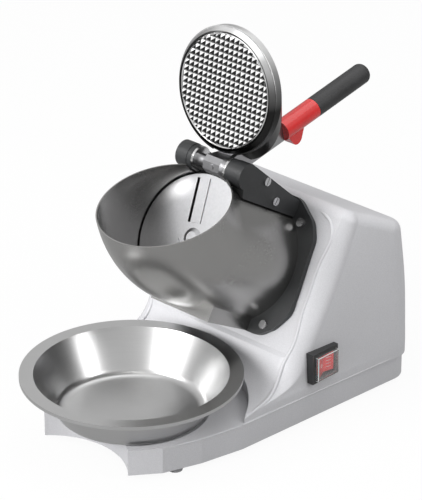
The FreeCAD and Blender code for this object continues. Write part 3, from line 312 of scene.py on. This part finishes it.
materials = {
    "housing_plastic": textured_plastic("housing_plastic", (0.60, 0.60, 0.62), 1000, 0.5, 0.00004, 0.05),
    "black_casting": painted_casting("black_casting", (0.020, 0.021, 0.022)),
    "brushed_hopper": brushed_metal("brushed_hopper", (0.38, 0.377, 0.37), (1, 30, 30), (0.25, 0.28),
                                    0.000001, 40, (0.95, 1.03)),
    "bowl_steel": brushed_metal("bowl_steel", (0.55, 0.55, 0.55), (1, 1, 24), (0.28, 0.30), 0.000002, 40,
                                (0.96, 1.02)),
    "polished_metal": polished_metal("polished_metal", (0.80, 0.80, 0.80), 0.16),
    "toothed_steel_painted_shade": toothed_steel_painted_shade("toothed_steel_painted_shade", 0.95, 0.012),
    # The lid shell's dark lower part is painted shade, its light top painted light.
    "lid_shell_painted_shade": painted_shade_steel("lid_shell_painted_shade", SHELL_PAINTED_DARK, SHELL_PAINTED_LIGHT, (0.03, 0.95)),
    "foot_rubber": rubber("foot_rubber", (0.36, 0.36, 0.37)),
    # Pale grey for the clear cover's edge lines: a painted highlight.
    "splash_edge_painted_highlight": glossy_plastic("splash_edge_painted_highlight", (0.80, 0.80, 0.80), 0.12, 0.6),
    "machined_steel": brushed_metal("machined_steel", (0.42, 0.42, 0.43), (8, 1, 8), (0.29, 0.34),
                                    0.000002),
    "fasteners": polished_metal("fasteners", (0.62, 0.62, 0.63), 0.22),
    "cover_black": textured_plastic("cover_black", (0.085, 0.085, 0.087), 800, 0.34, 0.00003, 0.6),
    "grip_black": rubber("grip_black", (0.02, 0.02, 0.021), 0.45),
    "guard_red": glossy_plastic("guard_red", (0.70, 0.022, 0.022), 0.22),
    "stop_nylon": textured_plastic("stop_nylon", (0.62, 0.62, 0.60), 500, 0.4),
    "rubber_black": rubber("rubber_black", (0.02, 0.02, 0.02)),
    "cover_grey": textured_plastic("cover_grey", (0.16, 0.16, 0.165), 700, 0.55),
    "motor_metal": painted_casting("motor_metal", (0.40, 0.40, 0.41), 0.45),
    "motor_steel": brushed_metal("motor_steel", (0.5, 0.5, 0.52), (1, 6, 1), (0.3, 0.5)),
    "laminations": laminated("laminations", (0.30, 0.29, 0.28)),
    "copper": brushed_metal("copper", (0.62, 0.27, 0.10), (1, 90, 1), (0.25, 0.5), 0.0001),
    "fan_plastic": textured_plastic("fan_plastic", (0.60, 0.60, 0.57), 600, 0.45),
    "switch_black": glossy_plastic("switch_black", (0.012, 0.012, 0.013), 0.3, 0.2),
    "rocker_red": glossy_plastic("rocker_red", (0.98, 0.014, 0.014), 0.25),
    "rocker_mark": glossy_plastic("rocker_mark", (0.85, 0.55, 0.52), 0.3),
    "splash_clear": clear_plastic("splash_clear"),
    "tab_brass": polished_metal("tab_brass", (0.72, 0.55, 0.25), 0.25),
    "capacitor_case": glossy_plastic("capacitor_case", (0.65, 0.65, 0.62), 0.3, 0.1),
    "terminal_plastic": textured_plastic("terminal_plastic", (0.70, 0.70, 0.66), 500, 0.5),
}


def dress(thing, material):
    thing.data.materials.clear()
    thing.data.materials.append(material)


for entry in frame["record"]["subparts"]:
    dress(nodes[entry["node"]], materials[entry["material_slot"]])
dress(nodes["tooth_plate"], materials["toothed_steel_painted_shade"])
for part in ("lid_back_cover", "lid_ring"):
    dress(nodes[part], materials["lid_shell_painted_shade"])
for corner in ("front_left", "front_right", "rear_left", "rear_right"):
    dress(nodes["foot_" + corner], materials["foot_rubber"])


# ---------------------------------------------------------------- smooth shading of the CAD pieces

def shade(thing):
    for polygon in thing.data.polygons:
        polygon.use_smooth = True
    thing.data.set_sharp_from_angle(angle=SMOOTH_BELOW)


for node in nodes.values():
    shade(node)


# ---------------------------------------------------------------- raised lines

def surface_of(thing):
    mesh = thing.data
    return BVHTree.FromPolygons([vertex.co.copy() for vertex in mesh.vertices],
                                [tuple(polygon.vertices) for polygon in mesh.polygons])


def new_object(name, mesh, material, body):
    thing = bpy.data.objects.new(name, mesh)
    bpy.context.scene.collection.objects.link(thing)
    dress(thing, material)
    for polygon in mesh.polygons:
        polygon.use_smooth = True
    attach(thing, body)
    return thing


def bead(name, path, radius, material, body="base", closed=False, sides=10, taper=4):
    """A round line along a path of points; open ends thin out over a few points."""
    mesh = bpy.data.meshes.new(name)
    work = bmesh.new()
    count = len(path)
    rows = []
    for number, point in enumerate(path):
        before = path[(number - 1) % count] if closed or number > 0 else point
        after = path[(number + 1) % count] if closed or number < count - 1 else point
        ahead = (after - before).normalized()
        side = ahead.cross(Vector((0.31, 0.27, 0.91))).normalized()
        rise = side.cross(ahead)
        size = radius if closed else radius * min(1.0, 0.3 + min(number, count - 1 - number) / taper)
        row = []
        for step in range(sides):
            angle = 2 * math.pi * step / sides
            row.append(work.verts.new(point + size * (math.cos(angle) * side + math.sin(angle) * rise)))
        rows.append(row)
    pairs = list(zip(rows, rows[1:]))
    if closed:
        pairs.append((rows[-1], rows[0]))
    else:
        work.faces.new(rows[0])
        work.faces.new(rows[-1])
    for first, second in pairs:
        for step in range(sides):
            following = (step + 1) % sides
            work.faces.new((first[step], first[following], second[following], second[step]))
    bmesh.ops.recalc_face_normals(work, faces=work.faces)
    work.to_mesh(mesh)
    work.free()
    return new_object(name, mesh, material, body)


def smoothed(points, rounds):
    """Even out small steps along a path, its ends kept."""
    for _ in range(rounds):
        points = [points[0]] + [(before + 2 * here + after) / 4 for before, here, after
                                in zip(points, points[1:], points[2:])] + [points[-1]]
    return points


def front_point(surface, side, across, rise):
    """Where a line along the motor axis meets the housing, with the surface normal there."""
    start = PLATE + Vector((side * across, 0, 0)) + rise * UPWARD - OUTSIDE * ALONG
    spot, normal, _, _ = surface.ray_cast(start, ALONG)
    return spot, normal


def crease_point(surface, side, rise):
    """At one height, the last point of the leaning front before it turns into the flank."""
    across, outermost, stride = 70 * MM, 105 * MM, 0.4 * MM
    turned = 0.22
    found = None
    while across < outermost:
        spot, normal = front_point(surface, side, across, rise)
        if spot is None or normal.x * side > turned:
            break
        found = spot
        across += stride
    return found


def flank_beads():
    """The raised line where the leaning front turns into each flank, curling in under the roof."""
    surface = surface_of(nodes["housing"])
    radius, sunk = 2.0 * MM, 0.8 * MM
    lowest, shoulder = -146 * MM, 46 * MM
    rows = 64
    curl, curl_steps, curl_turn = 22 * MM, 11, 9
    for name, side in (("right", 1), ("left", -1)):
        path = []
        for row in range(rows):
            found = crease_point(surface, side, lowest + (shoulder - lowest) * row / (rows - 1))
            if found is not None and found.z > FLOOR_Z:
                path.append(found)
        edge = abs(path[-1].x)
        for step in range(1, curl_steps + 1):
            angle = math.radians(curl_turn * step)
            spot, _ = front_point(surface, side, edge - curl + curl * math.cos(angle),
                                  shoulder + curl * math.sin(angle))
            if spot is not None:
                path.append(spot)
        path = smoothed(path, 14)
        inward = Vector((-side * 0.3, 0.6, -0.5)).normalized()
        bead("flank_bead_" + name, [point + sunk * inward for point in path], radius,
             materials["housing_plastic"])


def base_line():
    """The lip round the top of the base, along each side."""
    surface = surface_of(nodes["housing"])
    height = FLOOR_Z - 1.2 * MM
    front, spacing = -136 * MM, 4.8 * MM
    for name, side in (("right", 1), ("left", -1)):
        path = []
        for step in range(60):
            start = Vector((side * OUTSIDE, front + spacing * step, height))
            spot, _, _, _ = surface.ray_cast(start, Vector((-side, 0, 0)))
            if spot is not None:
                path.append(spot - Vector((side * 0.5 * MM, 0, 0)))
        bead("base_lip_" + name, smoothed(path, 3), 1.0 * MM, materials["housing_plastic"])


def switch_details():
    """Moulded edges of the clear cover, coloured pale grey as a painted highlight, and the ribs and ring on
    the rocker under it.
    """
    out, half_y, half_z = SWITCH.x, SWITCH_COVER.y, SWITCH_COVER.z
    corners = [(half_y, half_z), (-half_y, half_z), (-half_y, -half_z), (half_y, -half_z)]
    inset = 0.4 * MM
    front = []
    for (y, z), (next_y, next_z) in zip(corners, corners[1:] + corners[:1]):
        for step in range(8):
            share = step / 8
            front.append(Vector((out - inset, SWITCH.y + y + (next_y - y) * share,
                                 SWITCH.z + z + (next_z - z) * share)))
    # The edge lines' pale grey is a painted highlight on the clear cover.
    bead("splash_rim_painted_highlight", front, 0.38 * MM, materials["splash_edge_painted_highlight"], closed=True)
    for number, (y, z) in enumerate(corners):
        edge = [Vector((out - inset - SWITCH_COVER.x * share, SWITCH.y + y, SWITCH.z + z))
                for share in (0, 0.3, 0.6, 0.9)]
        bead("splash_corner_highlight_%d" % number, edge, 0.36 * MM, materials["splash_edge_painted_highlight"])
    surface = surface_of(nodes["rocker"])

    def on_rocker(y, z):
        start = Vector((OUTSIDE, SWITCH.y + y, SWITCH.z + z))
        spot, _, _, _ = surface.ray_cast(start, Vector((-1, 0, 0)))
        return spot

    for number, z in enumerate((-5, -1.7, 1.7, 5)):
        rib = [on_rocker((2.5 + 1.1 * step) * MM, z * MM) for step in range(7)]
        bead("rocker_rib_%d" % number, [spot for spot in rib if spot], 0.4 * MM,
             materials["rocker_mark"], "rocker_body")
    ring = []
    for step in range(24):
        angle = math.radians(15 * step)
        ring.append(on_rocker((-5.5 + 1.7 * math.cos(angle)) * MM, 1.7 * math.sin(angle) * MM))
    bead("rocker_ring", [spot for spot in ring if spot], 0.3 * MM, materials["rocker_mark"],
         "rocker_body", closed=True)


flank_beads()
base_line()
switch_details()


# ---------------------------------------------------------------- studio

def lamp(name, spot, target, size, energy, size_y=None):
    data = bpy.data.lights.new(name, "AREA")
    data.energy = energy
    data.size = size
    if size_y:
        data.shape = "RECTANGLE"
        data.size_y = size_y
    thing = bpy.data.objects.new(name, data)
    bpy.context.scene.collection.objects.link(thing)
    thing.location = spot
    thing.rotation_euler = (Vector(target) - Vector(spot)).to_track_quat("-Z", "Y").to_euler()


def studio():
    """White backdrop and pale floor as the camera sees them, four soft lamps, a dimmer sky."""
    world = bpy.data.worlds.new("studio")
    bpy.context.scene.world = world
    world.use_nodes = True
    tree = world.node_tree
    background = tree.nodes["Background"]
    path = tree.nodes.new("ShaderNodeLightPath")
    seen = combine(tree, "MAXIMUM", path.outputs["Is Camera Ray"], path.outputs["Is Transmission Ray"])
    white = combine(tree, "MULTIPLY_ADD", path.outputs["Is Glossy Ray"], GLOSSY_SKY, seen)
    direction = tree.nodes.new("ShaderNodeTexCoord")
    parts = tree.nodes.new("ShaderNodeSeparateXYZ")
    link(tree, direction.outputs["Generated"], parts.inputs["Vector"])
    sky = ramp(tree, parts.outputs["Z"], [(0.0, 0.10), (0.28, 0.16), (0.5, 0.75), (0.72, 0.7), (0.95, 0.4)])
    mixer = tree.nodes.new("ShaderNodeMix")
    mixer.data_type = "RGBA"
    mixer.inputs["B"].default_value = (1, 1, 1, 1)
    link(tree, white, mixer.inputs["Factor"])
    link(tree, sky, mixer.inputs["A"])
    link(tree, mixer.outputs["Result"], background.inputs["Color"])

    half = 6.0
    mesh = bpy.data.meshes.new("floor")
    mesh.from_pydata([(-half, -half, 0), (half, -half, 0), (half, half, 0), (-half, half, 0)], [],
                     [(0, 1, 2, 3)])
    floor = bpy.data.objects.new("floor", mesh)
    bpy.context.scene.collection.objects.link(floor)
    dress(floor, floor_material())

    middle = (0, 0, 0.15)
    lamp("key", (-0.7, -1.4, 1.5), middle, 0.8, 18)
    lamp("front", (-0.25, -1.9, 0.75), middle, 0.9, 34)
    lamp("side", (1.5, 0.35, 1.0), middle, 0.4, 9, 0.9)
    lamp("top", (0.1, 0.3, 1.9), middle, 1.9, 15)


def floor_material():
    """Pale grey floor that the camera sees as white, with the shadows left in."""
    material, tree, shader = new_material("floor")
    grain = noise(tree, object_coordinates(tree), 3, 2)
    link(tree, ramp(tree, grain, [(0.3, 0.24), (0.7, 0.26)]), shader.inputs["Base Color"])
    shader.inputs["Roughness"].default_value = 0.9
    shader.inputs["Specular IOR Level"].default_value = 0.1
    path = tree.nodes.new("ShaderNodeLightPath")
    glow = add(tree, "ShaderNodeEmission", Strength=1.1)
    seen = combine(tree, "MULTIPLY", path.outputs["Is Camera Ray"], FLOOR_GLOW)
    white = combine(tree, "MULTIPLY_ADD", path.outputs["Is Glossy Ray"], GLOSSY_FLOOR, seen)
    mixer = tree.nodes.new("ShaderNodeMixShader")
    link(tree, white, mixer.inputs["Fac"])
    link(tree, shader.outputs["BSDF"], mixer.inputs[1])
    link(tree, glow.outputs["Emission"], mixer.inputs[2])
    link(tree, mixer.outputs["Shader"], tree.nodes["Material Output"].inputs["Surface"])
    return material


def photo_camera():
    """A long lens from the front right, looking down at the middle of the machine."""
    azimuth, elevation = math.radians(43.3), math.radians(26.2067)
    distance = 3.0
    focal_pixels, image_height, sensor_height = 3096.08, 500, 36
    target = Vector((0, 0.005, 0.162))
    back = Vector((math.sin(azimuth) * math.cos(elevation), -math.cos(azimuth) * math.cos(elevation),
                   math.sin(elevation)))
    data = bpy.data.cameras.new("camera")
    data.sensor_fit = "VERTICAL"
    data.sensor_height = sensor_height
    data.lens = sensor_height * focal_pixels / image_height
    camera = bpy.data.objects.new("camera", data)
    bpy.context.scene.collection.objects.link(camera)
    camera.location = target + distance * back
    camera.rotation_euler = (-back).to_track_quat("-Z", "Y").to_euler()
    bpy.context.scene.camera = camera


studio()
photo_camera()
bpy.context.scene.view_settings.view_transform = "Standard"
